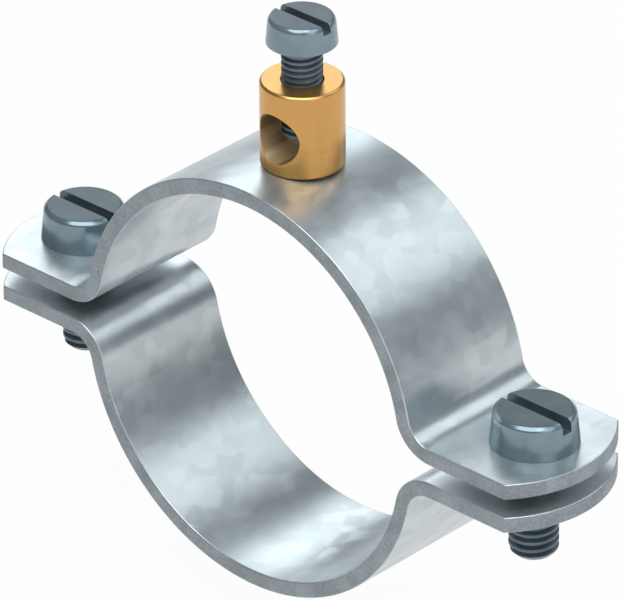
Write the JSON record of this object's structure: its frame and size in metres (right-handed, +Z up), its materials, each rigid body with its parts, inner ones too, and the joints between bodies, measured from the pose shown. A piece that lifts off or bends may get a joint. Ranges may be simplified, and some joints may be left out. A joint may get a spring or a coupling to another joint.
{
  "type": "earthing clip",
  "caption": "Split pipe clamp of bent strip with flat screwed ears and a turned brass terminal post that takes an earth conductor.",
  "frame": {"origin": "on the pipe's axis, midway between the two halves and midway along the strip's width", "axes": "+X towards the right ear, +Y along the pipe, +Z up through the terminal post"},
  "size_m": [0.0884, 0.02, 0.0721],
  "materials": {
    "galvanised_strip": "hot-dip galvanised, soft spangle",
    "plated_screw": "zinc plated, blue-grey, satin",
    "turned_brass": "fine turned"
  },
  "bodies": {
    "upper_half": {"upper_half_band": "galvanised_strip", "terminal_post": "turned_brass"},
    "lower_half": {"lower_half_band": "galvanised_strip"},
    "terminal_screw": {"terminal_screw": "plated_screw"},
    "clamp_screw_right": {"clamp_screw_right": "plated_screw"},
    "clamp_screw_left": {"clamp_screw_left": "plated_screw"}
  },
  "joints": [
    {"name": "lower_half_slide", "type": "slide", "parent": "upper_half", "child": "lower_half", "axis": [0, 0, 1], "range_m": [-0.007, 0.0023]},
    {"name": "clamp_screw_right_turn", "type": "hinge", "parent": "upper_half", "child": "clamp_screw_right", "pos_m": [0.03617, 0, 0], "axis": [0, 0, -1], "range_deg": [-2530, 838]},
    {"name": "clamp_screw_left_turn", "type": "hinge", "parent": "upper_half", "child": "clamp_screw_left", "pos_m": [-0.03617, 0, 0], "axis": [0, 0, -1], "range_deg": [-2530, 838]},
    {"name": "terminal_screw_travel", "type": "slide", "parent": "upper_half", "child": "terminal_screw", "axis": [0, 0, 1], "range_m": [-0.0011, 0.0064]}
  ],
  "couplings": [
    {"joint": "clamp_screw_right_turn", "follows": "lower_half_slide", "rad_per_m": 6283.2},
    {"joint": "clamp_screw_left_turn", "follows": "lower_half_slide", "rad_per_m": 6283.2}
  ]
}
